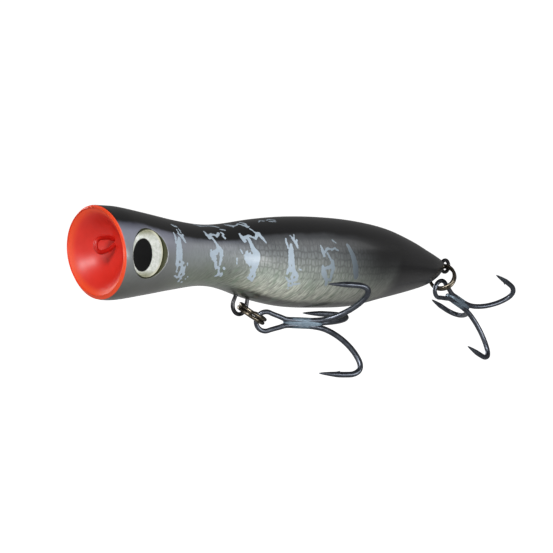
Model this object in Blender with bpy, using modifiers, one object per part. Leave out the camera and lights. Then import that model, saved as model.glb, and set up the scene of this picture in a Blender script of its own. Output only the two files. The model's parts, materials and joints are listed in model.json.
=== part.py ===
"""Topwater popper: a hollow two-part body on one through wire, with two split rings and two treble hooks.

Design sizes are in millimetres, measured from the centre of the mouth, with X towards the tail and Z up.
The model is placed in metres with the centre of the line tie at the origin.
The fish's left side is -Y.
"""
import math

import bmesh
import bpy
from mathutils import Matrix, Vector

MM = 0.001
NAME = "topwater_popper"

# ---- driving dimensions, millimetres ----
TIE_X, TIE_Z = 1.5, 2.1          # centre of the line tie, from the centre of the mouth
BODY_LENGTH = 179.5
MOUTH_SLANT = math.radians(7.0)  # the upper lip stands forward of the lower one
WALL = 2.0
SEAM = 0.2                       # gap between the two body halves
FIT = 0.2                        # gap where one piece is seated in another
SMALL_GAP = 0.1                  # gap between pieces that are glued together
# distance from the nose, height above the axis, depth below the axis, half width
OUTLINE = [
    (-3.0, 14.9, 14.6, 14.7), (0.0, 15.0, 15.0, 15.0), (6.0, 14.9, 15.4, 15.1), (18.0, 13.4, 14.1, 13.7),
    (32.0, 11.5, 12.0, 11.6), (44.0, 10.6, 10.6, 10.4), (54.0, 11.2, 11.3, 10.9), (70.0, 13.6, 15.2, 13.3),
    (86.0, 15.2, 17.6, 14.8), (104.0, 15.8, 18.0, 15.3), (122.0, 15.3, 17.4, 15.0), (140.0, 13.3, 14.4, 13.0),
    (156.0, 9.4, 11.6, 9.8), (168.0, 5.5, 9.0, 6.8), (175.0, 3.2, 6.2, 4.3), (BODY_LENGTH, 1.6, 3.2, 2.2),
]
# first, last and spacing of the sections that the body is lofted through
SECTIONS = [(-3.0, 54.0, 4.4), (60.0, 160.0, 7.0), (165.0, BODY_LENGTH, 5.0)]
# front, back, wall thickness at the front and at the back of each hollow in the body
CHAMBERS = [
    (12.0, 36.5, 5.4, WALL), (38.5, 56.0, WALL, WALL), (78.0, 118.0, WALL, WALL),
    (120.0, 147.0, WALL, WALL), (149.0, 160.0, WALL, WALL),
]
THICK_RUN, THINNING_RUN = 7.0, 5.0  # from a hollow's front, the front wall holds, then thins out
PAST_SEAM = 1.0                  # how far cutters reach past the middle of the body
FOIL_CHAMBER, FOIL_GAP, FOIL, FOIL_ARC = 2, 0.35, 0.3, 50
CUP_DEPTH = 8.0
CUP_RIM = 14.1
CUP_WALL = 0.7
CUP_LIP = 0.3                    # thickness of the cup's edge
NOSE_CUT = 30.0                  # reach of the cutter that faces off the nose
# the slot in the cup and the nose that the line tie's two legs pass through
TIE_SLOT_LOW, TIE_SLOT_HIGH, TIE_SLOT_HALF = 1.15, 6.1, 1.15
CUP_BOWL = [
    (0.0, CUP_RIM), (0.5, 13.3), (1.2, 12.2), (2.3, 11.0), (3.7, 9.7), (5.3, 8.1), (6.7, 6.0), (7.6, 3.3),
]
EYE_X, EYE_Z, EYE_FLOOR, EYE_TILT = 10.0, 0.2, 12.0, math.radians(8.0)
SOCKET_RADIUS, SOCKET_CUT = 7.95, 9.0
EYE_RADIUS = 7.7
EYE_GLUE, EYE_BACKING, EYE_EDGE, EYE_DOME = 0.15, 0.3, 0.2, 0.5
WIRE = 1.5
WIRE_CLEARANCE = 0.35
TIE_LOOP = 2.35                  # centre-line radius of the line tie's front
TIE_NARROW, TIE_STRETCH = 2.0, 3.0  # its radius at the back, and between the two centres
TIE_RISE = math.radians(12.0)    # the legs of the line tie rise towards the tail
LEG_GAP = 1.75                   # between the centre lines of two legs side by side
TIE_NECK = 6.2                   # its two legs lie side by side from here
HANGER_X, HANGER_Z, HANGER_LOOP = 65.6, -17.0, 3.4
HANGER_TURN = (150, 350)         # where the hanger's arc starts and ends
TAIL_X, TAIL_Z, TAIL_LOOP = 182.7, -0.8, 2.45
TAIL_TURN, TAIL_NECK = 140, 179.0
# distance from the nose and height of the wire where it runs inside the body
FRONT_RUN = [(20.0, 4.6), (36.0, 1.6), (52.0, 0.6), (58.5, -3.0)]
HANGER_FALL = [(61.8, -8.0), (63.6, -12.6)]
HANGER_RISE = [(69.3, -15.0), (70.2, -11.6), (72.4, -9.6)]
MIDDLE_RUN = [(76.5, -9.5), (82.0, -5.5), (100.0, -1.2), (130.0, 0.2)]
# distance from the nose, height and radius of the dowels that line the two halves up
DOWELS = [
    (14.5, 11.4, 1.2), (14.5, -12.0, 1.2), (68.0, 4.0, 2.0), (67.0, -9.0, 1.5), (165.0, 3.4, 1.1),
]
DOWEL_ROOT, DOWEL_REACH = 3.0, 2.0  # how far a dowel is rooted in one half and stands into the other
RING_WIRE, RING_DIAMETER, COIL_PITCH = 1.35, 11.6, 1.43
RING_TURN = (125.0, 775.0)       # the ring's wire starts and ends at these angles
RING_CROSSING, RING_CROSSING_RUN = 450.0, 56.0
HOOK_WIRE = 2.1
HOOK_EYE = 3.5                   # centre-line radius of a treble's eye
HOOK_EYE_TURN = 60               # the eye's arc starts and ends this far from the shank
HOOK_NECK = (5.2, 1.9)           # the wire between the eye and the shank: along, out
HOOK_SHANK = 7.6                 # the two legs lie side by side from here
LEG_CLEARANCE = 0.06             # half the gap between two legs of a treble
POINT_SIZE = 0.15                # a point's thickness, as a share of the wire's
# along the shank from the centre of the eye, and out from the shank's axis
HOOK_BEND = [
    (18.0, 1.3), (22.5, 2.3), (27.3, 5.0), (31.0, 8.4), (33.4, 11.8), (34.5, 14.8), (34.0, 17.0), (31.9, 18.4),
    (28.5, 18.8), (18.8, 18.6),
]
EYE_SLACK = 0.7                  # from the centre of the ring's wire to the centre of the treble's eye
# where each ring's wire passes its hanger, the way it hangs and the way its wire lies at both ends
BELLY_RING = ((66.0, 0.3, -17.3), (0.6, -0.62, -0.51), (0.719, 0.694, 0.0))
TAIL_RING = ((182.65, 0.0, -0.9), (-0.44, -0.14, -0.89), (-0.35, 0.94, 0.0))
# each treble's heading from the tail direction towards -Y, its slope down, and its roll, in degrees
BELLY_TREBLE = (31.0, 0.5, 22.0)
TAIL_TREBLE = (1.0, 22.5, 24.0)
# front, back, depth and half width of each cast weight
BELLY_BALLAST = (84.0, 104.0, 5.0, 6.5)
TAIL_BALLAST = (150.5, 158.5, 5.0, 3.5)
BALLAST_GAP, BALLAST_ROUND = 0.5, 0.45  # its clearance over the wall, and how far its sides curve up
# distance from the nose, height and radius of each rattle ball
FRONT_BALL = (43.5, -5.5, 2.6)
REAR_BALL = (124.5, -11.4, 3.2)


def at(x, y, z):
    """A point measured from the centre of the mouth in millimetres, in the model's frame in metres."""
    return Vector(((x - TIE_X) * MM, y * MM, (z - TIE_Z) * MM))


# ---- collections, materials and objects ----
def collection(name):
    group = bpy.data.collections.new(name)
    bpy.context.scene.collection.children.link(group)
    return group


def material(name, colour, roughness, metallic=0.0):
    finish = bpy.data.materials.new(name)
    finish.use_nodes = True
    shader = finish.node_tree.nodes["Principled BSDF"]
    shader.inputs["Base Color"].default_value = (*colour, 1.0)
    shader.inputs["Roughness"].default_value = roughness
    shader.inputs["Metallic"].default_value = metallic
    return finish


def add(name, mesh, group, finish=None, smooth=True):
    obj = bpy.data.objects.new(name, mesh)
    group.objects.link(obj)
    if finish:
        mesh.materials.append(finish)
    if smooth:
        mesh.shade_smooth()
        mesh.set_sharp_from_angle(angle=math.radians(40))
    if group.name == "cutters":
        obj.hide_render = True
        obj.display_type = "WIRE"
    return obj


def mesh_of(bm, name):
    bmesh.ops.recalc_face_normals(bm, faces=bm.faces)
    mesh = bpy.data.meshes.new(name)
    bm.to_mesh(mesh)
    bm.free()
    return mesh


def cut(obj, cutter, operation="DIFFERENCE"):
    step = obj.modifiers.new(cutter.name, "BOOLEAN")
    step.operation = operation
    step.object = cutter
    step.solver = "EXACT"


# ---- smooth curves through a few points ----
def through(points, value):
    """Cubic through rows of points, read at one value of their first column."""
    last = len(points) - 2
    i = max(0, min(last, sum(1 for p in points[1:-1] if p[0] <= value)))
    a, b = points[i], points[i + 1]
    before, after = points[max(i - 1, 0)], points[min(i + 2, last + 1)]
    span = b[0] - a[0]
    t = (value - a[0]) / span
    result = []
    for k in range(1, len(a)):
        slope_a = (b[k] - before[k]) / (b[0] - before[0]) * span
        slope_b = (after[k] - a[k]) / (after[0] - a[0]) * span
        h00, h10 = 2 * t**3 - 3 * t**2 + 1, t**3 - 2 * t**2 + t
        h01, h11 = -2 * t**3 + 3 * t**2, t**3 - t**2
        result.append(h00 * a[k] + h10 * slope_a + h01 * b[k] + h11 * slope_b)
    return result


def smooth_path(points, count):
    """Evenly spaced points on a cubic through the given points, by their distance along it."""
    rows, run = [], 0.0
    for i, p in enumerate(points):
        run += (Vector(p) - Vector(points[i - 1])).length if i else 0.0
        rows.append((run, *p))
    return [Vector(through(rows, run * i / (count - 1))) for i in range(count)]


def arc(centre, radius, start, end, count):
    """Points (x, z) on an arc, angles in degrees from +X towards +Z."""
    angles = [math.radians(start + (end - start) * i / (count - 1)) for i in range(count)]
    return [(centre[0] + radius * math.cos(a), centre[1] + radius * math.sin(a)) for a in angles]


# ---- body sections ----
def section(x, inset, side, seam, count):
    """Half of the body's outline at x, from the keel to the back, moved in by inset."""
    top, bottom, width = through(OUTLINE, x)
    middle, half = (top - bottom) / 2, (top + bottom) / 2 - inset
    points = []
    for i in range(count + 1):
        angle = math.pi * (i / count - 0.5)
        y = max((width - inset) * math.cos(angle), seam) if seam > 0 else (width - inset) * math.cos(angle)
        points.append((x, side * y, middle + half * math.sin(angle)))
    if seam < 0:
        points[0] = (x, side * seam, points[0][2])
        points[-1] = (x, side * seam, points[-1][2])
    return points


def half_loft(name, stations, side, seam, count=14):
    """A closed half solid through sections; stations are pairs of distance and inset."""
    bm = bmesh.new()
    rings = [[bm.verts.new(at(*p)) for p in section(x, inset, side, seam, count)] for x, inset in stations]
    for a, b in zip(rings, rings[1:]):
        size = len(a)
        for i in range(size):
            j = (i + 1) % size
            bm.faces.new((a[i], a[j], b[j], b[i]))
    bm.faces.new(rings[0])
    bm.faces.new(list(reversed(rings[-1])))
    return mesh_of(bm, name)


def spread(start, end, step):
    count = max(2, round((end - start) / step) + 1)
    return [start + (end - start) * i / (count - 1) for i in range(count)]


# ---- turned pieces and wires ----
def turned(name, profile, group, finish=None, steps=40):
    """A closed solid turned about its own Z axis; the profile is (radius, height)."""
    bm = bmesh.new()
    verts = [bm.verts.new((r * MM, 0.0, z * MM)) for r, z in profile]
    for a, b in zip(verts, verts[1:]):
        bm.edges.new((a, b))
    mesh = bpy.data.meshes.new(name)
    bm.to_mesh(mesh)
    bm.free()
    obj = add(name, mesh, group, finish, smooth=False)
    screw = obj.modifiers.new("turn", "SCREW")
    screw.steps = screw.render_steps = steps
    screw.use_merge_vertices = True
    screw.merge_threshold = 0.00001
    screw.use_smooth_shade = True
    return obj


def wire(name, points, diameter, group, finish=None, pivot=(TIE_X, 0.0, TIE_Z), sharp_start=0, sharp_end=0):
    """A round wire through points, with its origin at pivot; so many points at its ends taper to a tip."""
    curve = bpy.data.curves.new(name, "CURVE")
    curve.dimensions = "3D"
    curve.bevel_depth = diameter / 2 * MM
    curve.bevel_resolution = 2
    curve.use_fill_caps = True
    spline = curve.splines.new("POLY")
    spline.points.add(len(points) - 1)
    for place, p in zip(spline.points, points):
        place.co = (*(at(*p) - at(*pivot)), 1.0)
    for i in range(sharp_start):
        spline.points[i].radius = POINT_SIZE + (1.0 - POINT_SIZE) * i / sharp_start
    for i in range(sharp_end):
        spline.points[-1 - i].radius = POINT_SIZE + (1.0 - POINT_SIZE) * i / sharp_end
    obj = bpy.data.objects.new(name, curve)
    obj.location = at(*pivot)
    group.objects.link(obj)
    if finish:
        curve.materials.append(finish)
    if group.name == "cutters":
        obj.hide_render = True
        obj.display_type = "WIRE"
    return obj


def as_mesh(obj):
    """The same piece as a mesh with its caps welded on, so that it can be cut or can cut."""
    bpy.context.view_layer.update()
    mesh = bpy.data.meshes.new_from_object(obj.evaluated_get(bpy.context.evaluated_depsgraph_get()))
    bm = bmesh.new()
    bm.from_mesh(mesh)
    bmesh.ops.remove_doubles(bm, verts=bm.verts, dist=0.000001)
    bm.to_mesh(mesh)
    bm.free()
    name, group, matrix = obj.name, obj.users_collection[0], obj.matrix_world.copy()
    bpy.data.objects.remove(obj)
    result = add(name, mesh, group)
    result.matrix_world = matrix
    return result


def box(name, low, high, group):
    bm = bmesh.new()
    bmesh.ops.create_cube(bm, size=1.0)
    size = [(b - a) * MM for a, b in zip(low, high)]
    bmesh.ops.scale(bm, vec=size, verts=bm.verts)
    obj = add(name, mesh_of(bm, name), group, smooth=False)
    obj.location = at(*[(a + b) / 2 for a, b in zip(low, high)])
    return obj


def rod(name, x, z, radius, low, high, group):
    """A straight round bar along Y."""
    bm = bmesh.new()
    bmesh.ops.create_cone(bm, cap_ends=True, segments=16, radius1=radius * MM, radius2=radius * MM,
                          depth=(high - low) * MM)
    bmesh.ops.rotate(bm, matrix=Matrix.Rotation(math.radians(90), 3, "X"), verts=bm.verts)
    obj = add(name, mesh_of(bm, name), group)
    obj.location = at(x, (low + high) / 2, z)
    return obj


# ---- the body and what is in it ----
def mouth_axis():
    """Places a turned piece with its Z axis out of the mouth, at the centre of the mouth."""
    return Matrix.Translation(at(0, 0, 0)) @ Matrix.Rotation(math.radians(-90) - MOUTH_SLANT, 4, "Y")


def cup_profile(grow):
    """Outer side of the mouth cup, from its rim to the back, grown by a gap."""
    outer = [(CUP_RIM + grow, 0.0)]
    for depth, radius in CUP_BOWL[1:]:
        outer.append((radius + CUP_WALL * 0.75 + grow, -depth - CUP_WALL - grow))
    outer.append((0.0, -CUP_DEPTH - CUP_WALL - grow))
    return outer


def tie_slot(name, front, back, cutters):
    return box(name, (front, -TIE_SLOT_HALF, TIE_SLOT_LOW), (back, TIE_SLOT_HALF, TIE_SLOT_HIGH), cutters)


def mouth_cup(group, cutters, finish):
    inner = [(radius - CUP_LIP / 2, -depth) for depth, radius in CUP_BOWL]
    profile = cup_profile(0.0)
    profile[0] = (CUP_RIM, -CUP_LIP)
    loop = [(0.0, -CUP_DEPTH)] + [(r, z) for r, z in reversed(inner)] + profile
    cup = turned("mouth_cup", loop, group, finish, steps=48)
    cup.matrix_world = mouth_axis()
    cut(cup, tie_slot("cup_slot", 4.0, 14.0, cutters))


def nose_seat(cutters):
    """The recess that the mouth cup is seated in, with the flat slanted front of the body."""
    front = [(0.0, NOSE_CUT), (NOSE_CUT, NOSE_CUT), (NOSE_CUT, 0.0), (CUP_RIM + FIT, 0.0)]
    profile = front + cup_profile(FIT)[1:]
    seat = turned("nose_seat", profile, cutters, steps=48)
    seat.matrix_world = mouth_axis()
    return seat


def eye_axis(side):
    """Places a turned piece with its Z axis out of the eye socket, at the socket's floor."""
    out = Vector((math.sin(EYE_TILT), side * math.cos(EYE_TILT), 0.0))
    turn = out.to_track_quat("Z", "Y").to_matrix().to_4x4()
    return Matrix.Translation(at(EYE_X, side * EYE_FLOOR, EYE_Z)) @ turn


def body_shell(name, side, cuts, group, cutters, finish):
    shell_stations = [(x, 0.0) for run in SECTIONS for x in spread(*run)]
    shell = add(name, half_loft(name, shell_stations, side, SEAM / 2), group, finish)
    for number, (front, back, wall_front, wall_back) in enumerate(CHAMBERS):
        stations = []
        for x in spread(front, back, 6.0):
            share = min(1.0, max(0.0, (x - front - THICK_RUN) / THINNING_RUN))
            stations.append((x, wall_front + (wall_back - wall_front) * share))
        hollow = half_loft("hollow", stations, side, -PAST_SEAM, count=10)
        cut(shell, add(f"{name}_hollow_{number}", hollow, cutters))
    profile = [(0.0, SOCKET_CUT), (SOCKET_RADIUS, SOCKET_CUT), (SOCKET_RADIUS, 0.0), (0.0, 0.0)]
    socket = turned(f"{name}_socket", profile, cutters)
    socket.matrix_world = eye_axis(side)
    cut(shell, socket)
    for cutter in cuts:
        cut(shell, cutter)
    for number, (x, z, radius) in enumerate(DOWELS):
        if side < 0:
            pin = rod(f"dowel_{number}", x, z, radius, -DOWEL_ROOT, DOWEL_REACH, cutters)
            cut(shell, pin, "UNION")
        else:
            hole = rod(f"dowel_hole_{number}", x, z, radius + FIT, -PAST_SEAM, DOWEL_REACH + FIT, cutters)
            cut(shell, hole)


def eye(side, word, group, backing_finish, dome_finish):
    """A reflecting disc glued into the socket and the clear dome glued over it."""
    top = EYE_GLUE + EYE_BACKING
    disc = [(0.0, top), (EYE_RADIUS, top), (EYE_RADIUS, EYE_GLUE), (0.0, EYE_GLUE)]
    backing = turned(f"eye_backing_{word}", disc, group, backing_finish, steps=28)
    base = top + SMALL_GAP
    crown = [(EYE_RADIUS * math.sin(a), base + EYE_EDGE + EYE_DOME * math.cos(a))
             for a in [math.radians(15 * i) for i in range(7)]]
    dome = turned(f"eye_dome_{word}", crown + [(EYE_RADIUS, base), (0.0, base)], group, dome_finish, steps=28)
    for piece in (backing, dome):
        piece.matrix_world = eye_axis(side)


def reflector(side, word, group, finish):
    """A thin reflecting sheet that lines one side of the belly hollow."""
    front, back = CHAMBERS[FOIL_CHAMBER][0] + 1.0, CHAMBERS[FOIL_CHAMBER][1] - 1.0
    bm = bmesh.new()
    rows = []
    for x in spread(front, back, 6.0):
        top, bottom, width = through(OUTLINE, x)
        inset = WALL + FOIL_GAP
        middle, half = (top - bottom) / 2, (top + bottom) / 2 - inset
        angles = [math.radians(a) for a in range(-FOIL_ARC, FOIL_ARC + 1, 10)]
        rows.append([bm.verts.new(at(x, side * (width - inset) * math.cos(a), middle + half * math.sin(a)))
                     for a in angles])
    for a, b in zip(rows, rows[1:]):
        for i in range(len(a) - 1):
            bm.faces.new((a[i], a[i + 1], b[i + 1], b[i]))
    bmesh.ops.recalc_face_normals(bm, faces=bm.faces)
    if bm.faces[:][0].normal.y * side < 0:
        bmesh.ops.reverse_faces(bm, faces=bm.faces)
    mesh = bpy.data.meshes.new(f"reflector_{word}")
    bm.to_mesh(mesh)
    bm.free()
    sheet = add(f"reflector_{word}", mesh, group, finish)
    thick = sheet.modifiers.new("thickness", "SOLIDIFY")
    thick.thickness = FOIL * MM
    thick.offset = -1.0


def ballast(name, front, back, depth, width, group, finish):
    """A cast slug that follows the keel inside the body."""
    bm = bmesh.new()
    rings = []
    rise = depth * BALLAST_ROUND
    for x in spread(front, back, (back - front) / 4):
        floor = WALL + BALLAST_GAP - through(OUTLINE, x)[1]
        curve = [(width * math.cos(a), floor + rise * math.cos(a) ** 2)
                 for a in [math.radians(180 + 22.5 * i) for i in range(9)]]
        ring = [(x, y, z) for y, z in curve] + [(x, width, floor + depth), (x, -width, floor + depth)]
        rings.append([bm.verts.new(at(*p)) for p in ring])
    for a, b in zip(rings, rings[1:]):
        for i in range(len(a)):
            j = (i + 1) % len(a)
            bm.faces.new((a[i], a[j], b[j], b[i]))
    bm.faces.new(rings[0])
    bm.faces.new(list(reversed(rings[-1])))
    add(name, mesh_of(bm, name), group, finish)


def rattle_ball(name, x, z, radius, group, finish):
    bm = bmesh.new()
    bmesh.ops.create_uvsphere(bm, u_segments=16, v_segments=10, radius=radius * MM)
    ball = add(name, mesh_of(bm, name), group, finish)
    ball.location = at(x, 0.0, z)


# ---- the through wire ----
def tie_points():
    """From the cut end, round the line tie and back to the start of the long run."""
    along = Vector((math.cos(TIE_RISE), math.sin(TIE_RISE)))
    across = Vector((-along.y, along.x))
    centre = Vector((TIE_X, TIE_Z))
    root = centre + along * TIE_NECK
    rise = math.degrees(TIE_RISE)
    front = arc(centre, TIE_LOOP, rise - 100, rise - 260, 11)
    back = centre + along * TIE_STRETCH
    lower = arc(back, TIE_NARROW, rise - 42, rise - 88, 4)
    upper = arc(back, TIE_NARROW, rise + 88, rise + 42, 4)
    half = across * LEG_GAP / 2
    end = (16.0, root.y + 0.2 - LEG_GAP / 2)
    inner_lower, inner_upper = (9.6, root.y + 0.3 - LEG_GAP / 2), (9.6, root.y + 0.45 + LEG_GAP / 2)
    return ([end, inner_lower, tuple(root - half)] + lower + front + upper
            + [tuple(root + half), inner_upper])


def hanger_arc():
    return arc((HANGER_X, HANGER_Z), HANGER_LOOP, *HANGER_TURN, 12)


def tail_points():
    """Out of the tail, round the tail eye and back inside."""
    upper, lower = TAIL_Z + LEG_GAP / 2, TAIL_Z - LEG_GAP / 2
    return ([(160.0, 0.2), (170.0, upper), (TAIL_NECK, upper)]
            + arc((TAIL_X, TAIL_Z), TAIL_LOOP, TAIL_TURN, -TAIL_TURN, 15)
            + [(TAIL_NECK, lower), (171.0, lower), (164.0, lower)])


def through_wire(group, finish):
    hanger = HANGER_FALL + hanger_arc() + HANGER_RISE
    flat = tie_points() + FRONT_RUN + hanger + MIDDLE_RUN + tail_points()
    wire("through_wire", [(x, 0.0, z) for x, z in flat], WIRE, group, finish)


def wire_channels(cutters):
    """What is cut out of both halves for the through wire."""
    runs = {
        "front_channel": [(18.0, 4.8)] + FRONT_RUN + HANGER_FALL + [(62.4, -16.6)],
        "rear_channel": [(69.0, -18.2)] + HANGER_RISE + MIDDLE_RUN + [(150.0, 0.3), (163.0, 0.2)],
    }
    cuts = []
    for name, run in runs.items():
        channel = wire(name, [(x, 0.0, z) for x, z in run], WIRE + 2 * WIRE_CLEARANCE, cutters)
        cuts.append(as_mesh(channel))
    cuts.append(tie_slot("nose_channel", 6.0, 20.0, cutters))
    cuts.append(box("tail_channel", (159.0, -1.1, -2.9), (182.0, 1.1, 1.3), cutters))
    return cuts


# ---- split rings and treble hooks ----
def ring_frame(inner, run, lie):
    """Axes of a ring: run points from its hanger to its treble, lie is along the wire there."""
    run = Vector(run).normalized()
    lie = (Vector(lie) - run * run.dot(Vector(lie))).normalized()
    radius = (RING_DIAMETER - RING_WIRE) / 2
    centre = Vector(inner) + run * radius
    return centre, run, lie, run.cross(lie), radius


def split_ring(name, frame, pivot, group, finish):
    """Two turns of wire that cross over at one side, as a split ring is wound."""
    centre, run, lie, normal, radius = frame
    start, end = RING_TURN
    points = []
    steps = 46
    for i in range(steps + 1):
        angle = start + (end - start) * i / steps
        share = min(1.0, max(0.0, (angle - RING_CROSSING) / RING_CROSSING_RUN + 0.5))
        lift = COIL_PITCH / 2 * math.cos(math.pi * share)
        a = math.radians(angle)
        points.append(centre + run * radius * math.cos(a) + lie * radius * math.sin(a) + normal * lift)
    wire(name, points, RING_WIRE, group, finish, pivot)


def treble_frame(frame, yaw, pitch, roll):
    """The treble's pivot, eye and axes; roll turns the lowest hook from straight down towards -Y."""
    centre, run, _, _, radius = frame
    yaw, pitch = math.radians(yaw), math.radians(pitch)
    shank = Vector((math.cos(pitch) * math.cos(yaw), -math.cos(pitch) * math.sin(yaw), -math.sin(pitch)))
    side = shank.cross(Vector((0, 0, 1))).normalized()
    rise = side.cross(shank)
    pivot = centre + run * radius
    outward = []
    for number in range(3):
        a = math.radians(roll + 120 * number)
        outward.append(side * math.sin(a) - rise * math.cos(a))
    return pivot, pivot + shank * EYE_SLACK, shank, outward


def bend_path(eye_centre, shank, leg, outward):
    """One hook from its leg on the shank to its point."""
    points = smooth_path(HOOK_BEND, 24)
    return [eye_centre + leg + shank * s + outward * (r - HOOK_BEND[0][1]) for s, r in points]


def treble(name, ring, yaw, pitch, roll, group, finish):
    """A double hook bent from one wire round its eye, and the single hook that is brazed to it."""
    pivot, eye_centre, shank, outward = treble_frame(ring, yaw, pitch, roll)
    across = (outward[1] - outward[0]).normalized()
    half_gap = HOOK_WIRE / 2 + LEG_CLEARANCE
    first = bend_path(eye_centre, shank, -across * half_gap, outward[0])
    second = bend_path(eye_centre, shank, across * half_gap, outward[1])
    turn = [math.radians(a) for a in range(HOOK_EYE_TURN, 361 - HOOK_EYE_TURN, 16)]
    loop = [eye_centre + shank * HOOK_EYE * math.cos(a) + across * HOOK_EYE * math.sin(a) for a in turn]
    necks = []
    for side in (1, -1):
        necks.append([eye_centre + shank * HOOK_NECK[0] + across * HOOK_NECK[1] * side,
                      eye_centre + shank * HOOK_SHANK + across * half_gap * side])
    double = list(reversed(second)) + list(reversed(necks[0])) + loop + necks[1] + first
    wire(f"{name}_double", double, HOOK_WIRE, group, finish, pivot, sharp_start=5, sharp_end=5)
    third = outward[2]
    leg = third * math.sqrt((HOOK_WIRE + 2 * LEG_CLEARANCE + 0.02) ** 2 - half_gap**2)
    single = [eye_centre + shank * HOOK_SHANK + leg] + bend_path(eye_centre, shank, leg, third)
    wire(f"{name}_single", single, HOOK_WIRE, group, finish, pivot, sharp_end=5)


def main():
    for obj in list(bpy.data.objects):
        bpy.data.objects.remove(obj)
    parts, cutters = collection(NAME), collection("cutters")
    shell_finish = material("painted_shell", (0.18, 0.19, 0.2), 0.2)
    red = material("red_cup", (0.75, 0.05, 0.02), 0.15)
    steel = material("dark_steel", (0.12, 0.12, 0.13), 0.3, 1.0)
    nickel = material("black_nickel", (0.2, 0.18, 0.15), 0.25, 1.0)
    hook_finish = material("hook_plating", (0.16, 0.19, 0.22), 0.35, 1.0)
    foil = material("reflecting_foil", (0.7, 0.72, 0.7), 0.25, 1.0)
    lead = material("cast_lead", (0.3, 0.3, 0.32), 0.6, 1.0)
    bright = material("ball_steel", (0.6, 0.6, 0.6), 0.15, 1.0)
    iris = material("printed_iris", (0.8, 0.82, 0.75), 0.3)

    cuts = [nose_seat(cutters)] + wire_channels(cutters)
    body_shell("body_shell_left", -1, cuts, parts, cutters, shell_finish)
    body_shell("body_shell_right", 1, cuts, parts, cutters, shell_finish)
    mouth_cup(parts, cutters, red)
    for side, word in ((-1, "left"), (1, "right")):
        eye(side, word, parts, foil, iris)
        reflector(side, word, parts, foil)
    ballast("belly_ballast", *BELLY_BALLAST, parts, lead)
    ballast("tail_ballast", *TAIL_BALLAST, parts, lead)
    rattle_ball("rattle_ball_front", *FRONT_BALL, parts, bright)
    rattle_ball("rattle_ball_rear", *REAR_BALL, parts, bright)
    through_wire(parts, steel)
    for place, loop, ring, heading in (
        ("belly", (HANGER_X, 0.0, HANGER_Z), BELLY_RING, BELLY_TREBLE),
        ("tail", (TAIL_X, 0.0, TAIL_Z), TAIL_RING, TAIL_TREBLE),
    ):
        frame = ring_frame(*ring)
        split_ring(f"{place}_split_ring", frame, loop, parts, nickel)
        treble(f"{place}_treble", frame, *heading, parts, hook_finish)


main()
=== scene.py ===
"""Topwater popper, visual model.

Design sizes are in millimetres, measured from the centre of the mouth, with X towards the tail and Z up.
at() turns them into the row frame in metres, whose origin is the centre of the line tie.
"""
import json
import math

import bmesh
import bpy
import numpy as np
from mathutils import Matrix, Vector, noise

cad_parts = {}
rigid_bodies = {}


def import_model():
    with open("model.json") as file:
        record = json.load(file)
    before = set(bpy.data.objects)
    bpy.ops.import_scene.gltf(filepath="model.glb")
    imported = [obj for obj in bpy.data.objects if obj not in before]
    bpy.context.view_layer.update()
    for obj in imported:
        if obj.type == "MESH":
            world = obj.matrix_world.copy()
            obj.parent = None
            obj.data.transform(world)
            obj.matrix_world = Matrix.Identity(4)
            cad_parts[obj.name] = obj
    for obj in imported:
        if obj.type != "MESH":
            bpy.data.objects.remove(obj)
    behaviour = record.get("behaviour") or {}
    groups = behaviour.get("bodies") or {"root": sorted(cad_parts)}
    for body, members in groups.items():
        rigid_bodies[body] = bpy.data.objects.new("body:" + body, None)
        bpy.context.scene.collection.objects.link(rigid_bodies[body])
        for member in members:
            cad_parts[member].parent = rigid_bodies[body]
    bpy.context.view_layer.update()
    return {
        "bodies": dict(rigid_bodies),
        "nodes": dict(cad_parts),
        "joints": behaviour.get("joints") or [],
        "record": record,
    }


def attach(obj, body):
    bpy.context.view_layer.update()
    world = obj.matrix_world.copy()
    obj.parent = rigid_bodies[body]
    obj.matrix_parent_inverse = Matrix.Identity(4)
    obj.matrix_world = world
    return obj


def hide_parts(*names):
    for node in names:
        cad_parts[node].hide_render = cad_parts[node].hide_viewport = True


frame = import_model()

MM = 0.001
TIE_X, TIE_Z = 1.5, 2.1          # the line tie's centre, which is the row frame's origin
MOUTH_SLANT = math.radians(7.0)
BODY_LENGTH = 179.5
# distance from the nose, height above the axis, depth below the axis, half width
OUTLINE = np.array([
    (-3.0, 14.9, 15.0, 14.7), (0.0, 15.0, 15.5, 15.0), (6.0, 14.9, 15.7, 15.1), (18.0, 13.4, 14.1, 13.7),
    (32.0, 11.5, 12.0, 11.6), (44.0, 10.6, 10.6, 10.4), (54.0, 11.2, 11.3, 10.9), (70.0, 13.6, 15.2, 13.3),
    (86.0, 15.2, 17.6, 14.8), (104.0, 15.8, 18.0, 15.3), (122.0, 15.3, 17.4, 15.0), (140.0, 13.3, 14.4, 13.0),
    (156.0, 9.4, 11.6, 9.8), (168.0, 5.5, 9.0, 6.8), (175.0, 3.2, 6.2, 4.3), (BODY_LENGTH, 1.6, 3.2, 2.2),
])
EYE_X, EYE_Z, EYE_FLOOR, EYE_TILT = 10.0, 0.2, 12.0, math.radians(8.0)
SOCKET_RADIUS, SOCKET_ROUND = 7.95, 0.5
SIDES = ((-1, "left"), (1, "right"))


def at(x, y, z):
    return Vector(((x - TIE_X) * MM, y * MM, (z - TIE_Z) * MM))


def linear(red, green, blue):
    """An 8-bit colour as the linear colour that a shader takes."""
    def one(value):
        value /= 255.0
        return value / 12.92 if value <= 0.04045 else ((value + 0.055) / 1.055) ** 2.4
    return (one(red), one(green), one(blue), 1.0)


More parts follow.
